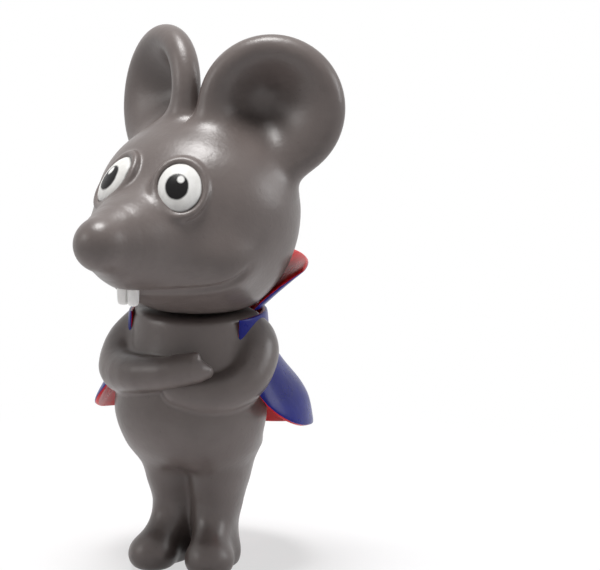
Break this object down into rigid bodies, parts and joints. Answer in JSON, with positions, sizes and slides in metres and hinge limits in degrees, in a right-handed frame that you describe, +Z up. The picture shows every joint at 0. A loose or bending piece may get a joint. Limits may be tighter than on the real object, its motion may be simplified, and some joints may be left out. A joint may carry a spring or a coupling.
{
  "type": "toy mouse figurine",
  "caption": "Standing soft-vinyl toy mouse with big round ears, folded arms, a cape with a stand-up collar, and a head that turns on the neck.",
  "frame": {"origin": "on the floor under the middle of the overall box", "axes": "+Z up the figure, -Y the way the face looks, +X towards the figure's own left"},
  "size_m": [0.0552, 0.0668, 0.115],
  "materials": {
    "grey_vinyl": "satin soft vinyl, warm grey",
    "blue_vinyl": "brushed blue paint on soft vinyl, red on the inner side",
    "white_paint": "gloss white paint"
  },
  "bodies": {
    "body": {"body_shell": "grey_vinyl", "left_arm": "grey_vinyl", "right_arm": "grey_vinyl", "cape": "blue_vinyl", "tail": "grey_vinyl"},
    "head": {"head_shell": "grey_vinyl", "left_ear": "grey_vinyl", "right_ear": "grey_vinyl", "left_eye": "white_paint", "right_eye": "white_paint", "front_teeth": "white_paint", "collar": "blue_vinyl"}
  },
  "joints": [
    {"name": "neck_turn", "type": "hinge", "parent": "body", "child": "head", "pos_m": [-0.00307, 0.00538, 0.0563], "axis": [0, 0, 1], "continuous": true}
  ]
}
